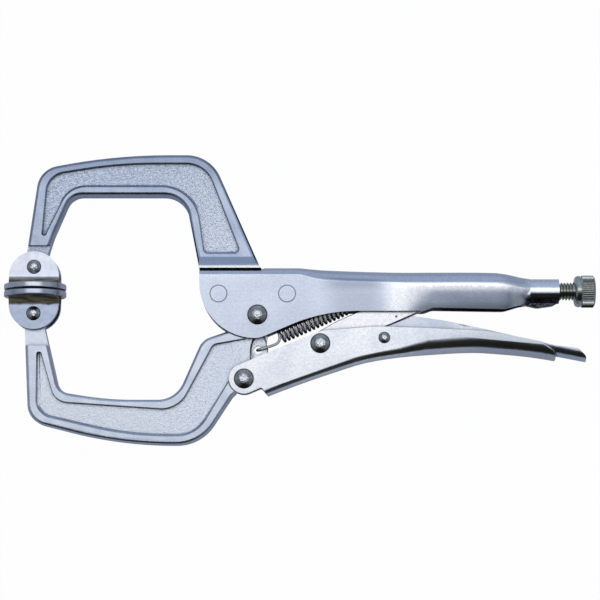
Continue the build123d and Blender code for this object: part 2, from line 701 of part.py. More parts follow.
# trough lever; its nose stays under the link's lower edge
NOSE_LOW = along(LINK_PIVOT, LINK_HEEL, NOSE_START, -LINK_HALF - LEVER_GAP)
NOSE_TOP = along(LINK_PIVOT, LINK_HEEL, NOSE_END, -LINK_HALF - LEVER_GAP)
LEVER_SIDE = [
    (LEVER_PIVOT[0] - LEVER_NOSE, LEVER_PIVOT[1] - 3.0, 2.5),
    (LEVER_PIVOT[0] - LEVER_NOSE, NOSE_LOW[1] + 0.4, 2.5),
    (NOSE_TOP[0], NOSE_TOP[1], 1.5),
    (89.0, -2.9, 25),
    (108.0, -6.9, 30),
    (140.5, -14.4, 12),
    (151.6, -15.8, 4),
    (155.2, -19.6, 2.5),
    (154.9, REACH * -0.8, 0),
    (LEVER_PIVOT[0] - 1.0, REACH * -0.8, 0),
]
with BuildPart() as release_lever:
    for x, half, crown, corner in LEVER_STATIONS:
        with BuildSketch(section_at(x)):
            with BuildLine():
                channel_outline(half, crown, corner, LOWER_MOUTH)
            make_face()
    loft(ruled=True)
    with BuildSketch(DATUM):
        with BuildLine():
            rounded_outline(LEVER_SIDE)
        make_face()
    extrude(amount=REACH, both=True, mode=Mode.INTERSECT)
    with BuildPart(mode=Mode.SUBTRACT):
        for x, half, crown, corner in LEVER_STATIONS:
            with BuildSketch(section_at(x)):
                with BuildLine():
                    channel_outline(half - LEVER_SHEET, crown + LEVER_SHEET, corner - LEVER_SHEET, LOWER_MOUTH)
                make_face()
        loft(ruled=True)
    with BuildSketch(DATUM):
        with Locations(LEVER_PIVOT):
            Circle(LEVER_SHANK + PIN_PLAY)
    extrude(amount=REACH, both=True, mode=Mode.SUBTRACT)
release_lever.part.label = "release_lever"

with BuildPart() as release_lever_rivet:
    with BuildSketch(pivot_plane(LEVER_PIVOT)):
        with BuildLine():
            rivet_profile(LEVER_SHANK, LEVER_HEAD, LEVER_DOME, LOWER_OUT)
        make_face()
    revolve(axis=pivot_axis(LEVER_PIVOT))
release_lever_rivet.part.label = "release_lever_rivet"

# screw turned about its own axis: domed tip, plain shank, collar and head
SCREW_TIP = LINK_HEEL[0] + LINK_HALF + SCREW_TIP_GAP
head_cap = cap_middle(HEAD_RADIUS - 0.9, HEAD_END - 0.5, HEAD_END)
tip_cap = cap_middle(SCREW_RADIUS, SCREW_TIP + 1.0, SCREW_TIP)
with BuildPart() as adjusting_screw:
    with BuildSketch(Plane(origin=DATUM.from_local_coords((0, SCREW_Y, 0)))):
        with BuildLine():
            Polyline(
                (SCREW_TIP + 1.0, SCREW_RADIUS),
                (HEAD_START, SCREW_RADIUS),
                (HEAD_START, HEAD_RADIUS - 1.9),
            )
            ThreePointArc(
                (HEAD_START, HEAD_RADIUS - 1.9),
                (HEAD_START + 0.7, HEAD_RADIUS - 0.55),
                (HEAD_START + HEAD_COLLAR, HEAD_RADIUS - 0.2),
            )
            Polyline(
                (HEAD_START + HEAD_COLLAR, HEAD_RADIUS - 0.2),
                (HEAD_START + HEAD_COLLAR + 0.3, HEAD_RADIUS),
                (HEAD_END - 1.1, HEAD_RADIUS),
                (HEAD_END - 0.5, HEAD_RADIUS - 0.9),
            )
            ThreePointArc((HEAD_END - 0.5, HEAD_RADIUS - 0.9), (head_cap[1], head_cap[0]), (HEAD_END, 0))
            Line((HEAD_END, 0), (SCREW_TIP, 0))
            ThreePointArc((SCREW_TIP, 0), (tip_cap[1], tip_cap[0]), (SCREW_TIP + 1.0, SCREW_RADIUS))
        make_face()
    revolve(axis=Axis(DATUM.from_local_coords((0, SCREW_Y, 0)), (1, 0, 0)))
adjusting_screw.part.label = "adjusting_screw"


def pad_sketch(rivet_y, up):
    """Ear outline of a pad, in the DATUM plane; up is 1 for the upper pad and -1 for the lower."""
    face = rivet_y - up * PAD_RISE
    with Locations((PAD_X, face + up * EAR_CENTRE)):
        Circle(EAR_HALF)
    with Locations((PAD_X, face + up * (EAR_CENTRE - REACH / 2))):
        Rectangle(3 * EAR_HALF, REACH, mode=Mode.SUBTRACT)
    with Locations((PAD_X, face + up * (PAD_DISC + EAR_CENTRE) / 2)):
        Rectangle(2 * EAR_HALF, EAR_CENTRE - PAD_DISC)


def pad_plane(rivet_y, up):
    """Back plane of a pad's disc, facing away from the clamped work."""
    face = rivet_y - up * PAD_RISE
    return Plane(origin=DATUM.from_local_coords((PAD_X, face, 0)), x_dir=(1, 0, 0), z_dir=(0, up, 0))


def cove_outline(rivet_y, up, side):
    """Hollow-cornered root of an ear on the disc's back, in a section across the tool."""
    seat = rivet_y - up * (PAD_RISE - PAD_DISC)
    wall = side * PAD_EAR_OUT
    toe = side * (PAD_EAR_OUT + EAR_ROOT)
    middle = side * (PAD_EAR_OUT + EAR_ROOT * CORNER_MID)
    Line((wall, seat), (toe, seat))
    ThreePointArc((toe, seat), (middle, seat + up * EAR_ROOT * CORNER_MID), (wall, seat + up * EAR_ROOT))
    Line((wall, seat + up * EAR_ROOT), (wall, seat))


# each pad: a disc with two ears that straddle the jaw's tip
pads = []
for rivet_y, up, name in ((UPPER_PAD_Y, 1, "upper_pad"), (LOWER_PAD_Y, -1, "lower_pad")):
    with BuildPart() as pad:
        with BuildSketch(pad_plane(rivet_y, up)):
            Circle(PAD_RADIUS)
        extrude(amount=PAD_DISC)
        fillet(pad.edges().filter_by(GeomType.CIRCLE), RIM_EDGE)
        with BuildSketch(DATUM.offset(-PAD_EAR_OUT)):
            pad_sketch(rivet_y, up)
        extrude(amount=2 * PAD_EAR_OUT)
        with BuildPart(mode=Mode.ADD):
            with BuildSketch(section_at(PAD_X - EAR_HALF)):
                for side in (1, -1):
                    with BuildLine():
                        cove_outline(rivet_y, up, side)
                    make_face()
            extrude(amount=2 * EAR_HALF)
            with BuildSketch(pad_plane(rivet_y, up)):
                Circle(PAD_RADIUS - RIM_LAND)
            extrude(amount=REACH, mode=Mode.INTERSECT)
        with BuildSketch(pad_plane(rivet_y, up).offset(PAD_DISC)):
            Rectangle(2 * REACH, 2 * PAD_EAR_IN)
        extrude(amount=REACH, mode=Mode.SUBTRACT)
        with BuildSketch(DATUM):
            with Locations((PAD_X, rivet_y)):
                Circle(PAD_SHANK)
        extrude(amount=REACH, both=True, mode=Mode.SUBTRACT)
    pad.part.label = name
    pads.append(pad)
upper_pad = pads[0]
lower_pad = pads[1]

with BuildPart() as upper_pad_rivet:
    with BuildSketch(pivot_plane((PAD_X, UPPER_PAD_Y))):
        with BuildLine():
            rivet_profile(PAD_SHANK, PAD_HEAD, PAD_DOME, PAD_EAR_OUT)
        make_face()
    revolve(axis=pivot_axis((PAD_X, UPPER_PAD_Y)))
upper_pad_rivet.part.label = "upper_pad_rivet"

with BuildPart() as lower_pad_rivet:
    with BuildSketch(pivot_plane((PAD_X, LOWER_PAD_Y))):
        with BuildLine():
            rivet_profile(PAD_SHANK, PAD_HEAD, PAD_DOME, PAD_EAR_OUT)
        make_face()
    revolve(axis=pivot_axis((PAD_X, LOWER_PAD_Y)))
lower_pad_rivet.part.label = "lower_pad_rivet"

# spring wire: front hook, coil, rear hook, all one path of arcs
COIL_LENGTH = math.hypot(COIL_REAR[0] - COIL_FRONT[0], COIL_REAR[1] - COIL_FRONT[1])
COIL_DIRECTION = Vector((COIL_REAR[0] - COIL_FRONT[0]) / COIL_LENGTH, (COIL_REAR[1] - COIL_FRONT[1]) / COIL_LENGTH, 0)
COIL_SIDE = Vector(-COIL_DIRECTION.Y, COIL_DIRECTION.X, 0)
COIL_STEP = COIL_LENGTH / (2 * math.pi * COIL_TURNS)


def coil_point(angle):
    """Place and heading on the coil; angle 0 is its front end, on the near side."""
    centre = DATUM.from_local_coords(Vector(COIL_FRONT[0], COIL_FRONT[1], 0)) + COIL_DIRECTION * (COIL_STEP * angle)
    place = centre + COIL_SIDE * (COIL_RADIUS * math.sin(angle)) + Vector(0, 0, 1) * (COIL_RADIUS * math.cos(angle))
    heading = (
        COIL_DIRECTION * COIL_STEP
        + COIL_SIDE * (COIL_RADIUS * math.cos(angle))
        - Vector(0, 0, 1) * (COIL_RADIUS * math.sin(angle))
    )
    return place, heading.normalized()


def hook_points(pin, toward):
    """Places and headings of a hook through a pin hole, from its open end round to its shank."""
    way = Vector(toward[0] - pin[0], toward[1] - pin[1], 0).normalized()
    hole = DATUM.from_local_coords(Vector(pin[0], pin[1], 0))
    near = Vector(0, 0, 1)
    shift = way * (HOOK_RADIUS - 0.4)
    return [
        (hole + shift + way * HOOK_TAIL - near * HOOK_RADIUS, way * -1),
        (hole + shift - near * HOOK_RADIUS, way * -1),
        (hole + shift - way * HOOK_RADIUS, near),
        (hole + shift + near * HOOK_RADIUS, way),
    ]


def biarc_arcs(start, heading, end, end_heading):
    """Two arcs that leave along heading, arrive along end_heading and meet smoothly."""
    span = end - start
    sum_heading = heading + end_heading
    square = 2 * (heading.dot(end_heading) - 1)
    linear = -2 * span.dot(sum_heading)
    if abs(square) < 1e-9:
        reach = -span.dot(span) / linear
    else:
        root = math.sqrt(linear * linear - 4 * square * span.dot(span))
        reach = (-linear - root) / (2 * square)
    first = start + heading * reach
    last = end - end_heading * reach
    joint = (first + last) * 0.5
    return [(start, first, joint), (joint, last, end)]


def arc_middle(start, corner, end):
    """Middle of the arc that touches start-corner and corner-end at its ends."""
    chord_middle = (start + end) * 0.5
    half = math.radians((start - corner).get_angle(end - corner)) / 2
    leg = (start - corner).length
    radius = leg * math.tan(half)
    inward = (chord_middle - corner).normalized()
    return corner + inward * (radius / math.sin(half) - radius)


stops = hook_points(SPRING_TAB, (SPRING_TAB[0] + 10.0, SPRING_TAB[1] + 2.3))
for half_turn in range(2 * COIL_TURNS + 1):
    stops.append(coil_point(half_turn * math.pi))
rear_hook = hook_points(SPRING_ANCHOR, COIL_REAR)
for place, heading in reversed(rear_hook):
    stops.append((place, heading * -1))

wire_arcs = []
for (start, heading), (end, end_heading) in zip(stops, stops[1:]):
    if (end - start).normalized().dot(heading) > 0.999999:
        wire_arcs.append((start, None, end))
    else:
        wire_arcs.extend(biarc_arcs(start, heading, end, end_heading))

with BuildPart() as tension_spring:
    with BuildLine() as wire_path:
        for start, corner, end in wire_arcs:
            if corner is None:
                Line(start, end)
            else:
                ThreePointArc(start, arc_middle(start, corner, end), end)
    wire = wire_path.wire()
    with BuildSketch(Plane(origin=wire @ 0, z_dir=wire % 0)):
        Circle(WIRE_RADIUS)
    sweep(path=wire)
tension_spring.part.label = "tension_spring"

# least gap of the wire to itself, on points along it more than a turn's third apart
wire_length = wire.length
sample_count = 1400
samples = [wire @ (i / sample_count) for i in range(sample_count + 1)]
apart = math.ceil(COIL_RADIUS * 2.0 / (wire_length / sample_count))
least = min(
    (samples[i] - samples[j]).length
    for i in range(0, sample_count + 1, 2)
    for j in range(i + apart, min(i + 6 * apart, sample_count + 1))
)
print("spring self gap", round(least - 2 * WIRE_RADIUS, 3), "mm")

export_step(upper_jaw.part, "parts/upper_jaw.step")
export_step(upper_handle.part, "parts/upper_handle.step")
export_step(jaw_rivets.part, "parts/jaw_rivets.step")
export_step(jaw_pivot_rivet.part, "parts/jaw_pivot_rivet.step")
export_step(lower_jaw.part, "parts/lower_jaw.step")
export_step(handle_pivot_rivet.part, "parts/handle_pivot_rivet.step")
export_step(lower_handle.part, "parts/lower_handle.step")
export_step(link_pivot_rivet.part, "parts/link_pivot_rivet.step")
export_step(toggle_link.part, "parts/toggle_link.step")
export_step(release_lever.part, "parts/release_lever.step")
export_step(release_lever_rivet.part, "parts/release_lever_rivet.step")
export_step(adjusting_screw.part, "parts/adjusting_screw.step")
export_step(upper_pad.part, "parts/upper_pad.step")
export_step(lower_pad.part, "parts/lower_pad.step")
export_step(upper_pad_rivet.part, "parts/upper_pad_rivet.step")
export_step(lower_pad_rivet.part, "parts/lower_pad_rivet.step")
export_step(tension_spring.part, "parts/tension_spring.step")
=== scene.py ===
"""Locking C-clamp pliers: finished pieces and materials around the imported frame."""
import json
import math

import bpy
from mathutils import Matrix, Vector

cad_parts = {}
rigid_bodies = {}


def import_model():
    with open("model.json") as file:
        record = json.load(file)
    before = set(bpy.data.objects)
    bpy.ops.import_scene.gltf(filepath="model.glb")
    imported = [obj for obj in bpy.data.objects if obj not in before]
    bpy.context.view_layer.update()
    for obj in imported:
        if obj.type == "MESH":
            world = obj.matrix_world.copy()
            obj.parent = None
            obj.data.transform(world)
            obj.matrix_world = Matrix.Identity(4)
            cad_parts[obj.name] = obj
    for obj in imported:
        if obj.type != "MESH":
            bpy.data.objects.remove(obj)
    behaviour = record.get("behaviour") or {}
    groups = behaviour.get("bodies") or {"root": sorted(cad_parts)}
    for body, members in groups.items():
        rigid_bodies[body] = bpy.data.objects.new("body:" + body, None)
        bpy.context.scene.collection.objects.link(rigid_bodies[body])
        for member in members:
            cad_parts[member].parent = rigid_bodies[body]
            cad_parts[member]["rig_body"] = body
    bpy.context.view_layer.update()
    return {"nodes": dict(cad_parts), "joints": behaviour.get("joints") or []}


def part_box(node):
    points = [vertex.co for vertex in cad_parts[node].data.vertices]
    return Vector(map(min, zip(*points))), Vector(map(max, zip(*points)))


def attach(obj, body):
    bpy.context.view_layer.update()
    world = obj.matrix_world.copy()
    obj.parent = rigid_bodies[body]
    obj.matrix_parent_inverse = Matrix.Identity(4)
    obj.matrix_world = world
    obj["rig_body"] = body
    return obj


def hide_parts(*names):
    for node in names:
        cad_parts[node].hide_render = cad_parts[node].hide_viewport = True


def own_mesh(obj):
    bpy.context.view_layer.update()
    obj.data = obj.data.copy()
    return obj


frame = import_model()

MM = 0.001
joints = {joint["name"]: joint for joint in frame["joints"]}
scene = bpy.context.scene
JAW_PIVOT = Vector(joints["jaw_pivot"]["pos_m"])
MID_Z = JAW_PIVOT.z

# camera, from the photograph
VIEW_ELEVATION = math.radians(83)
VIEW_DISTANCE = 1.1
VIEW_TARGET = Vector((0.0002, 0.0, MID_Z))
VIEW_WIDTH = 0.285
SENSOR = 36.0

# softened edges, in millimetres, and the angles at which an edge counts as sharp
FORGED_EDGE = 0.80
SHEET_EDGE = 0.55
PAD_EDGE = 0.25
RIVET_EDGE = 0.15
EDGE_ANGLE = math.radians(38)
SMOOTH_ANGLE = math.radians(32)
HEAD_SMOOTH_ANGLE = math.radians(25)

# all places below are in millimetres from the jaw pivot

# adjusting screw
SCREW_Y = 11.7
SCREW_RADIUS = 4.2
THREAD_ROOT = 3.45
THREAD_PITCH = 1.45
THREAD_STEPS = 36
THREAD_CREST = THREAD_PITCH * 0.26
THREAD_RUNOUT = 1.5
THREAD_TUCK = 0.4
HEAD_START = 150.4
HEAD_END = 160.3
HEAD_RADIUS = 7.65
KNURL_FRONT = HEAD_START + 3.2
KNURL_BACK = HEAD_END - 1.1
KNURL_RIDGES = 46
KNURL_DEPTH = 0.085

# shoulder of the fixed arm: it swells level with the cheeks, has a strip with a painted highlight and ends in
# a short step;
# the look of the arms starts again below LOWER_ARM_TOP
SHOULDER_TOP = 27.6
SHOULDER_FOOT = 23.8
SHOULDER_STRIP = 23.3
SHOULDER_END = 22.4
SHOULDER_STEP = 0.3
SHOULDER_REACH = 40.0
SHOULDER_RISE = 1.36
LOWER_ARM_TOP = 15.0

# pockets of the two arms: floor, sloping foot of the walls that face up, end of the lower pocket
POCKET_FLOOR = 3.2
POCKET_PLAY = 0.03
SLOPE_WIDTH = 0.9
SLOPE_RISE = 0.85
SLOPE_FROM = 0.15
SLOPE_SPAN = 0.4
POCKET_END = -13.4
POCKET_STEP = 0.3
MERGE_GAP = 0.005

# looks of the forgings: depth of the grainy webs, painted shade on the rim at the fixed arm's crown, wear
# around the pivot, painted shadow round the outline of the spring's tab
WEB_DEPTH = 3.4
CROWN_START = 58.0
CROWN_END = 70.0
RUBBED_NEAR = 20.0
RUBBED_FAR = 90.0
TAB_CENTRE = (0.85, -18.5)
TAB_HALF = (4.15, 9.5)

# upper handle: darker middle, grip with a hollow, a painted highlight along it and painted shade in the
# hollow, tube with sides pressed flat
ROOF_EDGE = 14.9
DARK_MIDDLE_START = 28.0
DARK_MIDDLE_END = 62.0
GRIP_START = 57.0
HOLLOW_START = 67.0
HOLLOW_END = 122.0
HOLLOW_TOP = 12.4
HOLLOW_LEAN = 0.8
TUBE_START = 127.0
TUBE_FLAT = 5.68
TUBE_LEAN = 0.03

# lower handle: plate darker towards its rolled rear lip
DARKER_FROM = 70.0
DARKER_TO = 120.0
LIP_START = 134.0
LIP_EDGE = 0.7

# domed rivets, and the two flush ones in the cheeks
RIVETS = (
    "jaw_pivot_rivet", "handle_pivot_rivet", "link_pivot_rivet",
    "release_lever_rivet", "upper_pad_rivet", "lower_pad_rivet",
)
JAW_RIVETS = ((-18.4, 10.0), (14.0, 10.0))
JAW_RIVET_RADIUS = 4.0

# swivel pads: outside of the ears, back of each disc
EAR_OUT = 6.4
UPPER_SEAT = 14.95
LOWER_SEAT = 8.95
DISC_LIFT = 0.5

# place and half size of the lever's scuffed patch, a mark of use, and of a small black spot on the link
LEVER_SCUFF = (98.6, -4.4)
LEVER_SCUFF_HALF = (4.4, 1.5)
LINK_SPOT = (65.7, -0.6)
LINK_SPOT_HALF = (0.7, 0.7)

# spring: painted shadow blackens it above a line
SHADOW_LINE_SLOPE = 0.477
SHADOW_LINE_DROP = 14.6

# floor, in metres, and how much of its white the camera and glossy rays see
FLOOR_SIZE = 6.0
FLOOR_DROP = 0.0005
FLOOR_SEEN = 0.985
FLOOR_GLOSS = 0.12


def at(x, y, z=0.0):
    """Point in metres from millimetres off the jaw pivot."""
    return JAW_PIVOT + Vector((x, y, z)) * MM


def deselect():
    bpy.ops.object.select_all(action="DESELECT")


def activate(piece):
    deselect()
    piece.select_set(True)
    bpy.context.view_layer.objects.active = piece


def edit(piece):
    activate(piece)
    bpy.ops.object.mode_set(mode="EDIT")
    bpy.ops.mesh.select_all(action="SELECT")


def leave_edit():
    bpy.ops.object.mode_set(mode="OBJECT")


def apply_modifier(piece, kind, **settings):
    activate(piece)
    modifier = piece.modifiers.new(kind.lower(), kind)
    for name, value in settings.items():
        setattr(modifier, name, value)
    bpy.ops.object.modifier_apply(modifier=modifier.name)


def smooth(piece, angle=SMOOTH_ANGLE):
    activate(piece)
    bpy.ops.object.shade_smooth_by_angle(angle=angle)


def finish_piece(piece, body, material):
    piece.data.materials.clear()
    piece.data.materials.append(material)
    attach(piece, body)


def select_where(piece, inside):
    """Selects the vertices whose place, in millimetres off the jaw pivot, is inside."""
    bpy.ops.mesh.select_mode(type="VERT")
    bpy.ops.mesh.select_all(action="DESELECT")
    leave_edit()
    for vertex in piece.data.vertices:
        vertex.select = inside((vertex.co - JAW_PIVOT) / MM)
    bpy.ops.object.mode_set(mode="EDIT")


def slope_pockets(piece):
    """Gives the pockets' lower walls a sloping foot, and the lower pocket a soft end near the pivot."""
    bpy.ops.mesh.select_mode(type="FACE")
    bpy.ops.mesh.select_all(action="DESELECT")
    leave_edit()
    for face in piece.data.polygons:
        depth = abs(face.center.z - MID_Z) / MM
        face.select = abs(face.normal.z) > 0.99 and abs(depth - POCKET_FLOOR) < POCKET_PLAY
    bpy.ops.object.mode_set(mode="EDIT")
    bpy.ops.mesh.inset(thickness=SLOPE_WIDTH * MM, use_even_offset=True)
    leave_edit()
    inner = set()
    for face in piece.data.polygons:
        if face.select:
            inner.update(face.vertices)
    vertices = piece.data.vertices
    rises = {}
    for edge in piece.data.edges:
        first, second = edge.vertices
        if (first in inner) == (second in inner):
            continue
        foot, top = (first, second) if first in inner else (second, first)
        inward = (vertices[foot].co - vertices[top].co).normalized()
        spot = (vertices[top].co - JAW_PIVOT) / MM
        share = min(max((inward.y - SLOPE_FROM) / SLOPE_SPAN, 0.0), 1.0)
        at_end = spot.x > POCKET_END and spot.y < 0
        if abs(abs(spot.z) - POCKET_FLOOR) < POCKET_PLAY:
            rises[top] = POCKET_STEP if at_end else SLOPE_RISE * share
    for top, rise in rises.items():
        vertices[top].co.z += math.copysign(rise, vertices[top].co.z - MID_Z) * MM
    bpy.ops.object.mode_set(mode="EDIT")
    bpy.ops.mesh.select_all(action="SELECT")
    bpy.ops.mesh.remove_doubles(threshold=MERGE_GAP * MM)


def raise_shoulder(piece):
    """Lets the arm swell towards the handle and end in a short step."""
    for height in (SHOULDER_END, SHOULDER_END - SHOULDER_STEP):
        bpy.ops.mesh.select_all(action="SELECT")
        bpy.ops.mesh.bisect(plane_co=at(0, height), plane_no=(0, 1, 0))
    low = SHOULDER_END - 0.1
    high = SHOULDER_FOOT + 0.2
    select_where(piece, lambda spot: low < spot.y < high and abs(spot.x) < SHOULDER_REACH)
    bpy.ops.transform.resize(value=(1, 1, SHOULDER_RISE), center_override=at(0, 0), orient_type="GLOBAL")


def shape_upper_jaw(piece):
    slope_pockets(piece)
    raise_shoulder(piece)


def lift_disc(piece):
    """Moves the lower pad's disc up to its partner."""
    select_where(piece, lambda spot: spot.y > LOWER_SEAT - DISC_LIFT - 0.1)
    bpy.ops.transform.translate(value=(0, DISC_LIFT * MM, 0))


def press_tube(piece):
    """Flattens the two sides of the tube."""
    leave_edit()
    for vertex in piece.data.vertices:
        spot = (vertex.co - JAW_PIVOT) / MM
        flat = TUBE_FLAT - TUBE_LEAN * (spot.y - SCREW_Y)
        if spot.x > TUBE_START - 0.5 and abs(spot.z) > flat:
            vertex.co.z = MID_Z + math.copysign(flat, spot.z) * MM
    bpy.ops.object.mode_set(mode="EDIT")


def roll_lip(piece):
    """Rolls the sheet's edges at the rear end of the lower handle."""
    bpy.ops.mesh.select_mode(type="EDGE")
    bpy.ops.mesh.select_all(action="DESELECT")
    bpy.ops.mesh.edges_select_sharp(sharpness=EDGE_ANGLE)
    leave_edit()
    for edge in piece.data.edges:
        spots = [(piece.data.vertices[index].co - JAW_PIVOT) / MM for index in edge.vertices]
        if min(spot.x for spot in spots) < LIP_START:
            edge.select = False
    bpy.ops.object.mode_set(mode="EDIT")
    bpy.ops.mesh.bevel(offset=LIP_EDGE * MM, segments=3, clamp_overlap=False)


def refined(node, name, edge, material, shape=None):
    """Merged copy of a CAD node with softened edges, in the node's place."""
    source = frame["nodes"][node]
    piece = bpy.data.objects.new(name, source.data.copy())
    scene.collection.objects.link(piece)
    edit(piece)
    bpy.ops.mesh.remove_doubles(threshold=2e-6)
    bpy.ops.mesh.dissolve_limited(angle_limit=math.radians(0.4))
    if shape:
        shape(piece)
    leave_edit()
    if edge:
        apply_modifier(
            piece, "BEVEL", width=edge * MM, segments=2, limit_method="ANGLE",
            angle_limit=EDGE_ANGLE, use_clamp_overlap=True, miter_outer="MITER_ARC",
        )
    smooth(piece)
    apply_modifier(piece, "WEIGHTED_NORMAL", mode="FACE_AREA_WITH_ANGLE", weight=70, keep_sharp=True)
    finish_piece(piece, source["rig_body"], material)
    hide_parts(node)
    return piece


def turned(name, points, steps):
    """Lathe piece about the screw's axis; points are (x, radius) in millimetres."""
    deselect()
    bpy.ops.mesh.primitive_plane_add(size=MM, location=at(points[0][0], SCREW_Y + points[0][1]))
    piece = bpy.context.object
    piece.name = name
    bpy.ops.object.transform_apply(location=True)
    edit(piece)
    bpy.ops.mesh.merge(type="CENTER")
    for (x0, r0), (x1, r1) in zip(points, points[1:]):
        bpy.ops.mesh.extrude_region_move(TRANSFORM_OT_translate={"value": Vector((x1 - x0, r1 - r0, 0)) * MM})
    bpy.ops.mesh.select_all(action="SELECT")
    if steps:
        bpy.ops.mesh.spin(steps=steps, angle=2 * math.pi, center=at(0, SCREW_Y), axis=(1, 0, 0))
        bpy.ops.mesh.select_all(action="SELECT")
        bpy.ops.mesh.remove_doubles(threshold=1e-6)
        bpy.ops.mesh.normals_make_consistent(inside=False)
    leave_edit()
    return piece


class Value:
    """A shader socket with arithmetic; each operation adds a Math node."""

    def __init__(self, finish, socket):
        self.finish = finish
        self.socket = socket

    def maths(self, operation, *others):
        inputs = {0: self}
        for place, other in enumerate(others, 1):
            inputs[place] = other
        return self.finish.node("ShaderNodeMath", {"operation": operation}, inputs)

    def __add__(self, other):
        return self.maths("ADD", other)

    __radd__ = __add__

    def __mul__(self, other):
        return self.maths("MULTIPLY", other)

    __rmul__ = __mul__

    def __sub__(self, other):
        return self.maths("SUBTRACT", other)

    def __rsub__(self, other):
        return (self * -1.0) + other

    def __truediv__(self, other):
        return self.maths("DIVIDE", other)

    def __abs__(self):
        return self.maths("ABSOLUTE")

    def ramp(self, low, high, start=0.0, end=1.0):
        """Smooth step from start to end as this value goes from low to high."""
        settings = {"interpolation_type": "SMOOTHSTEP"}
        return self.finish.node(
            "ShaderNodeMapRange", settings, {0: self, 1: low, 2: high, 3: start, 4: end},
        )

    def fall(self, low, high):
        """1 below low, 0 above high."""
        return self.ramp(low, high, 1.0, 0.0)


class Finish:
    """Node tree of one material, or of the world."""

    def __init__(self, name, owner=None):
        self.owner = owner or bpy.data.materials.new(name)
        self.owner.use_nodes = True
        self.tree = self.owner.node_tree

    def node(self, kind, settings=None, inputs=None, output=0):
        made = self.tree.nodes.new(kind)
        for name, value in (settings or {}).items():
            if name == "stops":
                ramp = made.color_ramp
                while len(ramp.elements) < len(value):
                    ramp.elements.new(0.5)
                for stop, (place, colour) in zip(ramp.elements, value):
                    stop.position = place
                    stop.color = (*colour, 1.0)
            else:
                setattr(made, name, value)
        for place, value in (inputs or {}).items():
            self.put(made.inputs[place], value)
        return Value(self, made.outputs[output])

    def put(self, socket, value):
        if isinstance(value, Value):
            self.tree.links.new(value.socket, socket)
        elif isinstance(value, tuple) and len(value) == 3 and socket.type == "RGBA":
            socket.default_value = (*value, 1.0)
        else:
            socket.default_value = value

    def shader(self, **inputs):
        """Sets sockets of the material's surface shader; underscores stand for spaces."""
        surface = self.tree.nodes["Principled BSDF"]
        for name, value in inputs.items():
            self.put(surface.inputs[name.replace("_", " ").title()], value)
        return self.owner

    def place(self):
        return self.node("ShaderNodeTexCoord", output=3)

    def split(self, vector):
        return [self.node("ShaderNodeSeparateXYZ", None, {0: vector}, output=i) for i in range(3)]

    def spot(self):
        """Place in millimetres off the jaw pivot, as three values."""
        return [(part - start) / MM for part, start in zip(self.split(self.place()), JAW_PIVOT)]

    def facing(self):
        """The surface's direction, as three values."""
        return self.split(self.node("ShaderNodeTexCoord", output=1))

    def noise(self, scale, detail=3.0, stretch=(1, 1, 1)):
        """Noise from 0 to 1; scale is features per metre."""
        mapped = self.node("ShaderNodeMapping", None, {"Vector": self.place(), "Scale": stretch})
        return self.node("ShaderNodeTexNoise", None, {"Vector": mapped, "Scale": scale, "Detail": detail})

    def mix(self, factor, first, second):
        settings = {"data_type": "RGBA"}
        return self.node("ShaderNodeMix", settings, {0: factor, 6: first, 7: second}, output=2)

    def crevice_shade(self, distance, tight, clear):
        """1 in tight corners, 0 on open surfaces: a mask for painted shade in corners; distance in metres."""
        settings = {"samples": 6}
        open_share = self.node("ShaderNodeAmbientOcclusion", settings, {"Distance": distance}, output=1)
        return open_share.fall(tight, clear)

    def bump(self, height, distance, strength=1.0):
        inputs = {"Height": height, "Distance": distance, "Strength": strength}
        return self.node("ShaderNodeBump", None, inputs)


def away(first, second):
    """Length of a step with these two parts."""
    return (first * first + second * second).maths("SQRT")


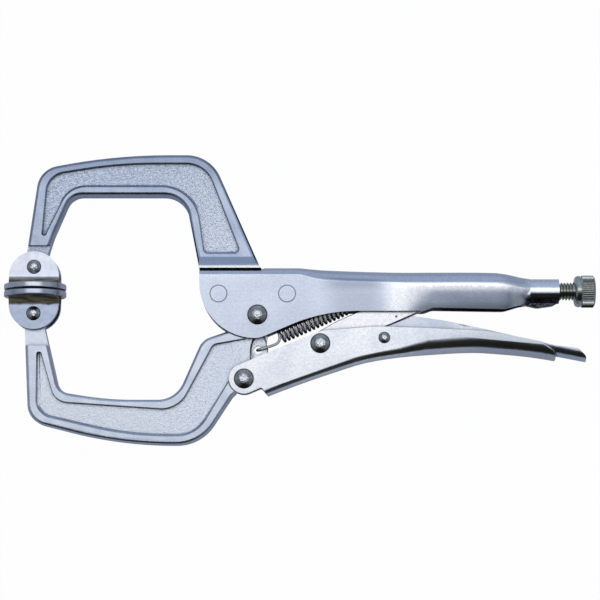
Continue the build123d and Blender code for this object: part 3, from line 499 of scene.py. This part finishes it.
def forged_finish(name, rim_low, rim_high, web_low, web_high, depth):
    """Satin plate on a forging: grainy webs, duller flanks, brighter where hands rub it near the pivot;
    painted shade on the shoulder's ramp, in its slot, on the crown, round the spring's tab and in tight
    corners; a painted highlight on the shoulder's strip.
    """
    forged = Finish(name)
    u, v, w = forged.spot()
    upright = abs(forged.facing()[2])
    arms = v.ramp(SHOULDER_TOP - 0.3, SHOULDER_TOP + 0.5) + v.fall(LOWER_ARM_TOP, LOWER_ARM_TOP + 2)
    # painted shade in the slot below the shoulder's end
    gap_shade = v.fall(SHOULDER_END - 0.4, SHOULDER_END - 0.1) * v.ramp(SHOULDER_END - 2, SHOULDER_END - 1.4)
    # painted highlight on the shoulder's strip
    strip_highlight = v.ramp(SHOULDER_END - 0.1, SHOULDER_END) * v.fall(SHOULDER_STRIP, SHOULDER_STRIP + 0.3)
    # painted shadow round the outline of the spring's tab
    tab_away = away((u - TAB_CENTRE[0]) / TAB_HALF[0], (v - TAB_CENTRE[1]) / TAB_HALF[1])
    tab = tab_away.ramp(0.88, 0.95) * tab_away.fall(1.05, 1.12)
    flank = upright.fall(0.30, 0.80) * arms
    web = abs(w).fall(WEB_DEPTH, WEB_DEPTH + 0.8) * arms * (1.0 - flank)
    rubbed = (u * u + v * v).fall(RUBBED_NEAR ** 2, RUBBED_FAR ** 2)
    grain = forged.noise(900.0, 5.0, (1, 1.6, 1))
    pits = forged.noise(2600.0, 2.0).ramp(0.58, 0.70)
    blotch = forged.noise(140.0, 3.0)
    rim_tone = forged.mix(blotch.ramp(0.3, 0.7), rim_low, rim_high)
    web_tone = forged.mix(grain.ramp(0.36, 0.64), web_low, web_high)
    # painted shade on the rim at the fixed arm's crown
    rim_tone = forged.mix(v.ramp(CROWN_START, CROWN_END) * 0.6, rim_tone, (0.20, 0.25, 0.35))
    tone = forged.mix(web, rim_tone, web_tone)
    tone = forged.mix(rubbed * web * 0.7, tone, (0.84, 0.89, 0.98))
    # painted shade on the shoulder's ramp, which faces down
    swell_shade = v.ramp(SHOULDER_STRIP, SHOULDER_STRIP + 0.3) * v.fall(SHOULDER_TOP, SHOULDER_TOP + 0.6)
    tone = forged.mix(swell_shade * 0.8, tone, (0.32, 0.38, 0.50))
    tone = forged.mix(strip_highlight * arms.fall(0.0, 0.5), tone, (0.76, 0.79, 0.78))
    tone = forged.mix(pits * (0.12 + web * 0.18), tone, (0.22, 0.25, 0.31))
    tone = forged.mix(flank * 0.7, tone, (0.54, 0.61, 0.74))
    # painted shade in the slot, round the tab and in tight corners
    painted_shade = (gap_shade * 0.4 + tab * 0.8 + forged.crevice_shade(2.4 * MM, 0.40, 0.88) * 0.75).maths("MINIMUM", 1.0)
    tone = forged.mix(painted_shade, tone, (0.03, 0.03, 0.02))
    rough = 0.24 + web * 0.08 + grain * 0.08 + flank * 0.10
    height = grain * (0.20 + web * 0.80) - pits * web * 0.3
    return forged.shader(
        base_color=tone, metallic=1.0, roughness=rough, normal=forged.bump(height, depth * MM, 0.55),
    )


def sheet_finish(name, low, high, roughness, far_tone=None, start=0.0, end=1.0, painted_shade=0.8, extra=None):
    """Satin plate on pressed sheet: faint drawn streaks, darker from start to end, painted shade in the
    corners.
    """
    sheet = Finish(name)
    streak = sheet.noise(700.0, 3.0, (0.12, 1, 1))
    cloud = sheet.noise(60.0, 2.0)
    fine = sheet.noise(1900.0, 3.0)
    colour = sheet.mix(cloud.ramp(0.25, 0.75), low, high)
    if far_tone:
        colour = sheet.mix(sheet.spot()[0].ramp(start, end), colour, far_tone)
    if extra:
        colour = extra(sheet, colour)
    colour = sheet.mix(fine.ramp(0.50, 0.70) * 0.24, colour, (0.35, 0.38, 0.44))
    mottle = sheet.noise(800.0, 4.0)
    colour = sheet.mix(mottle.fall(0.35, 0.65) * 0.16, colour, (0.30, 0.34, 0.42))
    # painted shade in tight corners
    colour = sheet.mix(sheet.crevice_shade(2.0 * MM, 0.45, 0.90) * painted_shade, colour, (0.04, 0.04, 0.03))
    rough = streak * 0.10 + fine * 0.05 + roughness
    return sheet.shader(
        base_color=colour, metallic=1.0, roughness=rough,
        normal=sheet.bump(fine + streak * 0.5, 0.00003, 0.35),
    )


def polished_finish(name, low, high, roughness):
    """Turned or headed steel with fine handling marks."""
    steel = Finish(name)
    cloud = steel.noise(900.0, 4.0)
    colour = steel.mix(cloud.ramp(0.3, 0.7), low, high)
    rough = cloud * 0.12 + roughness
    return steel.shader(
        base_color=colour, metallic=1.0, roughness=rough, normal=steel.bump(cloud, 0.00006, 0.25),
    )


def spring_finish():
    """Pale wire with a painted highlight where it faces up, and painted shade, black, between the coils and
    painted shadow along its upper side.
    """
    wire = Finish("spring_wire")
    u, v = wire.spot()[:2]
    cloud = wire.noise(900.0, 4.0)
    # painted highlight where the wire faces up; painted shadow, black, between the coils and above a line
    # along the upper side
    above = v - u * SHADOW_LINE_SLOPE + SHADOW_LINE_DROP
    painted_lit = abs(wire.facing()[2]).ramp(0.45, 0.80) * above.ramp(0.3, 1.3, 1.0, 0.12)
    colour = wire.mix(painted_lit, (0.02, 0.02, 0.012), (0.97, 0.97, 0.96))
    return wire.shader(
        base_color=colour, metallic=1.0 - painted_lit * 0.8, roughness=cloud * 0.1 + 0.35,
        normal=wire.bump(cloud, 0.00003, 0.25),
    )


def grip_painted_light(sheet, colour):
    """Upper handle: darker middle, with painted shade in place of a highlight below the roof's edge; painted
    highlight along the grip's crown; painted shade in its hollow, on faces turned down or towards the jaws,
    under the tube and round each flush rivet; painted light on faces turned up and on the tube's upper side.
    """
    u, v = sheet.spot()[:2]
    side_x, side_y, side_z = sheet.facing()
    under_roof = v.fall(ROOF_EDGE, ROOF_EDGE + 0.8)
    middle = u.ramp(DARK_MIDDLE_START, DARK_MIDDLE_START + 14) * u.fall(DARK_MIDDLE_END - 10, DARK_MIDDLE_END)
    colour = sheet.mix(middle, colour, (0.44, 0.48, 0.58))
    # painted shade in place of a highlight below the roof's edge
    colour = sheet.mix(middle * v.ramp(10.5, 14.5), colour, (0.34, 0.38, 0.47))
    hollow = (u - v * HOLLOW_LEAN).ramp(HOLLOW_START, HOLLOW_START + 10)
    hollow = hollow * v.fall(HOLLOW_TOP - 3, HOLLOW_TOP) * u.fall(HOLLOW_END - 5, HOLLOW_END)
    # painted highlight along the grip's crown
    grip_highlight = u.ramp(GRIP_START, GRIP_START + 11) * (1.0 - hollow) * under_roof
    grip_highlight = grip_highlight * u.fall(TUBE_START - 1, TUBE_START + 3)
    colour = sheet.mix(grip_highlight, colour, (0.92, 0.94, 0.98))
    # painted shade in the grip's hollow, darker still towards its bottom
    colour = sheet.mix(hollow, colour, (0.52, 0.57, 0.67))
    colour = sheet.mix(hollow * v.fall(3.0, 6.5), colour, (0.34, 0.37, 0.40))
    # painted light: faces turned up are lighter and bluer
    colour = sheet.mix(side_y.ramp(0.15, 0.45), colour, (0.68, 0.74, 0.86))
    tube = u.ramp(TUBE_START - 1, TUBE_START + 2)
    # painted highlight on the tube's upper side
    colour = sheet.mix(tube * v.ramp(SCREW_Y - 2.0, SCREW_Y - 1.0), colour, (0.84, 0.89, 0.98))
    # painted shade on faces turned down or towards the jaws
    shaded_edges = side_y.fall(-0.55, -0.25).maths("MAXIMUM", side_x.fall(-0.55, -0.25))
    colour = sheet.mix(shaded_edges * abs(side_z).fall(0.60, 0.85) * 0.85, colour, (0.06, 0.055, 0.035))
    # painted shade, black, under the tube
    underside_shade = u.ramp(TUBE_START - 2, TUBE_START + 1) * v.fall(SCREW_Y - 4.2, SCREW_Y - 3.0)
    colour = sheet.mix(underside_shade, colour, (0.0, 0.0, 0.0))
    # painted shade in a ring round each flush rivet
    rings = []
    for rivet_u, rivet_v in JAW_RIVETS:
        from_edge = abs(away(u - rivet_u, v - rivet_v) - JAW_RIVET_RADIUS)
        rings.append(from_edge.fall(0.15, 0.40))
    return sheet.mix(rings[0].maths("MAXIMUM", rings[1]) * 0.75, colour, (0.10, 0.11, 0.13))


def scuffed(centre, half_size, tone):
    """Extra for a sheet finish: one scuffed patch about centre."""
    def add_scuff(sheet, colour):
        u, v = sheet.spot()[:2]
        out = away((u - centre[0]) / half_size[0], (v - centre[1]) / half_size[1])
        scratches = sheet.noise(1500.0, 3.0, (1, 0.4, 1))
        return sheet.mix((out + scratches * 0.8).fall(0.9, 1.4), colour, tone)
    return add_scuff


def rivet_finish():
    """Headed steel, struck at the centre: a painted highlight there, painted shade round the root."""
    steel = Finish("rivet_steel")
    x, y = steel.split(steel.place())[:2]
    share = None
    for node in RIVETS:
        low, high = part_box(node)
        across = (x - (low[0] + high[0]) / 2) / ((high[0] - low[0]) / 2)
        along = (y - (low[1] + high[1]) / 2) / ((high[1] - low[1]) / 2)
        here = away(across, along)
        share = share.maths("MINIMUM", here) if share else here
    cloud = steel.noise(900.0, 4.0)
    strike = steel.noise(1100.0, 2.0)
    colour = steel.mix(cloud.ramp(0.3, 0.7), (0.34, 0.36, 0.37), (0.46, 0.48, 0.49))
    # painted highlight on the struck centre
    colour = steel.mix((share + strike * 0.5).fall(0.45, 0.80), colour, (0.97, 0.97, 0.98))
    # painted shade round the root
    colour = steel.mix(share.ramp(0.84, 0.97), colour, (0.06, 0.06, 0.05))
    struck = share.fall(0.45, 0.75)
    return steel.shader(
        base_color=colour, metallic=1.0, roughness=cloud * 0.12 + 0.08,
        normal=steel.bump(strike * struck + cloud * 0.2, 0.00045, 0.8),
    )


def pad_finish():
    """Turned pads: the upper pad lighter and the lower darker as painted light and shade, oil and painted
    shade in the hollow between ear and disc, a painted shadow line where the pads meet.
    """
    pad = Finish("pad_plate")
    v, w = pad.spot()[1:]
    upper = v - UPPER_SEAT
    lower = LOWER_SEAT - v
    height = upper.maths("MAXIMUM", lower)
    cloud = pad.noise(300.0, 3.0)
    streak = pad.noise(500.0, 3.0, (0.3, 1.6, 1))
    spread = away(abs(w) - EAR_OUT, height) - lower.ramp(0.0, 0.1) * (cloud * 2.4)
    hollow = spread.fall(1.6, 3.4) * height.ramp(-0.3, 0.1)
    oil_and_shade = pad.mix(streak.ramp(0.38, 0.60), (0.045, 0.035, 0.008), (0.34, 0.25, 0.06))
    # painted light and shade: the upper pad lighter, the lower pad darker
    shaded_ear = pad.mix(cloud.ramp(0.3, 0.7), (0.34, 0.39, 0.51), (0.42, 0.47, 0.60))
    lit_ear = pad.mix(cloud.ramp(0.3, 0.7), (0.52, 0.56, 0.65), (0.64, 0.68, 0.76))
    colour = pad.mix(v.ramp(6, 14), shaded_ear, lit_ear)
    # oil and painted shade in the hollow between ear and disc
    colour = pad.mix(hollow * (cloud * 0.3 + 0.7), colour, oil_and_shade)
    # painted shadow line where the two pads meet
    gap_shade = abs(v - (SCREW_Y + DISC_LIFT / 2)).fall(0.35, 0.60)
    colour = pad.mix(gap_shade, colour, (0.02, 0.02, 0.02))
    rough = cloud * 0.10 + hollow * 0.45 + 0.14
    return pad.shader(
        base_color=colour, metallic=1.0 - hollow * 0.85, roughness=rough,
        normal=pad.bump(cloud, 0.00008, 0.3),
    )


UPPER_FORGED = forged_finish(
    "upper_forged_plate", (0.36, 0.42, 0.54), (0.45, 0.51, 0.63),
    (0.48, 0.55, 0.68), (0.77, 0.83, 0.94), 0.30,
)
LOWER_FORGED = forged_finish(
    "lower_forged_plate", (0.58, 0.63, 0.73), (0.68, 0.73, 0.82),
    (0.80, 0.86, 0.97), (0.93, 0.96, 1.0), 0.16,
)
SHEET = sheet_finish("plated_sheet", (0.53, 0.58, 0.68), (0.60, 0.65, 0.75), 0.12, extra=grip_painted_light)
BRIGHT = sheet_finish(
    "polished_sheet", (0.72, 0.75, 0.82), (0.88, 0.90, 0.93), 0.12, (0.60, 0.64, 0.70),
    DARKER_FROM, DARKER_TO, painted_shade=0.45,
)
LEVER = sheet_finish(
    "lever_plate", (0.52, 0.57, 0.67), (0.76, 0.80, 0.87), 0.14,
    extra=scuffed(LEVER_SCUFF, LEVER_SCUFF_HALF, (0.26, 0.27, 0.29)),
)
LINK = sheet_finish(
    "plated_link", (0.93, 0.94, 0.96), (0.97, 0.97, 0.98), 0.20, painted_shade=0.95,
    extra=scuffed(LINK_SPOT, LINK_SPOT_HALF, (0.05, 0.05, 0.05)),
)
RIVET = rivet_finish()
SCREW = polished_finish("screw_steel", (0.24, 0.24, 0.15), (0.36, 0.36, 0.25), 0.16)
KNURL = polished_finish("knurl_steel", (0.42, 0.44, 0.43), (0.56, 0.58, 0.57), 0.14)
PAD = pad_finish()
SPRING = spring_finish()

refined("upper_jaw", "upper_jaw_forging", FORGED_EDGE, UPPER_FORGED, shape_upper_jaw)
refined("lower_jaw", "lower_jaw_forging", FORGED_EDGE, LOWER_FORGED, slope_pockets)
refined("upper_handle", "upper_handle_channel", SHEET_EDGE, SHEET, press_tube)
refined("lower_handle", "lower_handle_channel", SHEET_EDGE, BRIGHT, roll_lip)
refined("release_lever", "release_lever_trough", SHEET_EDGE, LEVER)
refined("toggle_link", "toggle_link_strut", SHEET_EDGE, LINK)
refined("upper_pad", "upper_pad_shoe", PAD_EDGE, PAD)
refined("lower_pad", "lower_pad_shoe", PAD_EDGE, PAD, lift_disc)
refined("jaw_rivets", "jaw_rivets_flush", RIVET_EDGE, SHEET)
for rivet in RIVETS:
    refined(rivet, rivet + "_dome", RIVET_EDGE, RIVET)

# spring wire, with a mesh of its own
spring = refined("tension_spring", "tension_spring_wire", 0, SPRING)
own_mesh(spring)

# screw: threaded shank and knurled head
SHANK_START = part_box("adjusting_screw")[0][0] / MM - JAW_PIVOT.x / MM
turns = math.floor((HEAD_START - SHANK_START - THREAD_RUNOUT) / THREAD_PITCH)
thread_start = HEAD_START + THREAD_TUCK - turns * THREAD_PITCH
thread_middle = thread_start + THREAD_PITCH / 2
thread = turned(
    "screw_thread",
    [
        (thread_start, THREAD_ROOT),
        (thread_start + THREAD_CREST, THREAD_ROOT),
        (thread_middle - THREAD_CREST / 2, SCREW_RADIUS),
        (thread_middle + THREAD_CREST / 2, SCREW_RADIUS),
        (thread_start + THREAD_PITCH, THREAD_ROOT),
    ],
    0,
)
edit(thread)
bpy.ops.transform.translate(value=-at(0, SCREW_Y))
leave_edit()
apply_modifier(
    thread, "SCREW", axis="X", angle=2 * math.pi, screw_offset=THREAD_PITCH * MM, iterations=turns - 1,
    steps=THREAD_STEPS, render_steps=THREAD_STEPS, use_merge_vertices=True, merge_threshold=1e-6,
)
edit(thread)
bpy.ops.transform.translate(value=at(0, SCREW_Y))
bpy.ops.mesh.normals_make_consistent(inside=False)
leave_edit()
smooth(thread)
finish_piece(thread, "screw", SCREW)
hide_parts("adjusting_screw")

head = turned(
    "screw_head",
    [
        (SHANK_START, 0.0),
        (SHANK_START + 0.2, 2.2),
        (SHANK_START + 1.0, THREAD_ROOT),
        (HEAD_START, THREAD_ROOT),
        (HEAD_START, HEAD_RADIUS - 1.9),
        (HEAD_START + 0.25, HEAD_RADIUS - 1.0),
        (HEAD_START + 0.9, HEAD_RADIUS - 0.4),
        (HEAD_START + 1.8, HEAD_RADIUS - 0.2),
        (KNURL_FRONT - 0.5, HEAD_RADIUS - 0.25),
        (KNURL_FRONT - 0.3, HEAD_RADIUS - 0.6),
        (KNURL_FRONT, HEAD_RADIUS - 0.5),
        (KNURL_FRONT + 0.25, HEAD_RADIUS),
        (KNURL_BACK, HEAD_RADIUS),
        (HEAD_END - 0.5, HEAD_RADIUS - 0.7),
        (HEAD_END - 0.3, HEAD_RADIUS - 1.4),
        (HEAD_END - 0.1, HEAD_RADIUS * 0.5),
        (HEAD_END, 0.0),
    ],
    KNURL_RIDGES * 2,
)
edit(head)
bpy.ops.mesh.select_all(action="DESELECT")
leave_edit()
axis_y = at(0, SCREW_Y).y
for vertex in head.data.vertices:
    along = (vertex.co.x - JAW_PIVOT.x) / MM
    angle = math.atan2(vertex.co.z - MID_Z, vertex.co.y - axis_y)
    step = round(angle / (math.pi / KNURL_RIDGES))
    in_band = KNURL_FRONT + 0.1 < along < KNURL_BACK + 0.1
    vertex.select = in_band and step % 2 == 1
bpy.ops.object.mode_set(mode="EDIT")
bpy.ops.transform.resize(
    value=(1, 1 - KNURL_DEPTH, 1 - KNURL_DEPTH), center_override=at(0, SCREW_Y), orient_type="GLOBAL",
)
leave_edit()
smooth(head, HEAD_SMOOTH_ANGLE)
finish_piece(head, "screw", KNURL)

# camera
camera_data = bpy.data.cameras.new("camera")
camera_data.sensor_width = SENSOR
camera_data.lens = SENSOR * VIEW_DISTANCE / VIEW_WIDTH
camera = bpy.data.objects.new("camera", camera_data)
scene.collection.objects.link(camera)
sight = Vector((0, math.cos(VIEW_ELEVATION), -math.sin(VIEW_ELEVATION)))
camera.location = VIEW_TARGET - sight * VIEW_DISTANCE
camera.rotation_euler = sight.to_track_quat("-Z", "Y").to_euler()
scene.camera = camera

# pale floor; white to the camera, with a trace of the object's shadow
deselect()
bpy.ops.mesh.primitive_plane_add(size=FLOOR_SIZE, location=(0, 0, -FLOOR_DROP))
floor = bpy.context.object
floor.name = "floor"
paper = Finish("floor_paper")
paper.shader(base_color=(0.72, 0.78, 0.90), roughness=0.9)
rays = [paper.node("ShaderNodeLightPath", output=i) for i in (0, 3, 6)]
seen = (rays[0] * FLOOR_SEEN + rays[1] * FLOOR_GLOSS + rays[2]).maths("MINIMUM", 1.0)
glow = paper.node("ShaderNodeEmission", None, {"Color": (1, 1, 1), "Strength": 1.0})
surface = paper.tree.nodes["Principled BSDF"].outputs[0]
mixed = paper.node("ShaderNodeMixShader", None, {0: seen, 1: Value(paper, surface), 2: glow})
paper.put(paper.tree.nodes["Material Output"].inputs[0], mixed)
floor.data.materials.append(paper.owner)

# studio: bright overhead and behind, dark in front, blue-grey beyond
world = bpy.data.worlds.new("studio")
scene.world = world
studio = Finish("studio", world)
x, y, z = studio.split(studio.node("ShaderNodeTexCoord", output=0))
slope = y.maths("ARCTAN2", z) * (180 / math.pi)
tone = studio.node(
    "ShaderNodeValToRGB",
    {
        "stops": [
            (0.0, (0.36, 0.41, 0.52)),
            (0.035, (0.34, 0.39, 0.50)),
            (0.060, (0.012, 0.011, 0.006)),
            (0.390, (0.020, 0.020, 0.014)),
            (0.430, (0.12, 0.13, 0.15)),
            (0.465, (0.36, 0.40, 0.46)),
            (0.500, (0.70, 0.73, 0.78)),
            (0.535, (1.02, 1.03, 1.05)),
            (0.560, (1.70, 1.70, 1.72)),
            (0.580, (1.70, 1.70, 1.72)),
            (0.612, (0.72, 0.78, 0.90)),
            (0.660, (0.46, 0.53, 0.66)),
            (1.0, (0.40, 0.46, 0.58)),
        ],
    },
    {0: slope / 180.0 + 0.5},
)
side = abs(x).ramp(0.28, 0.62)
sky = studio.mix(side * 0.85, tone, (0.24, 0.27, 0.32))
camera_ray = studio.node("ShaderNodeLightPath", output=0)
sky = studio.mix(camera_ray, sky, (1.0, 1.0, 1.0))
studio.put(studio.tree.nodes["Background"].inputs[0], sky)

scene.view_settings.view_transform = "Standard"
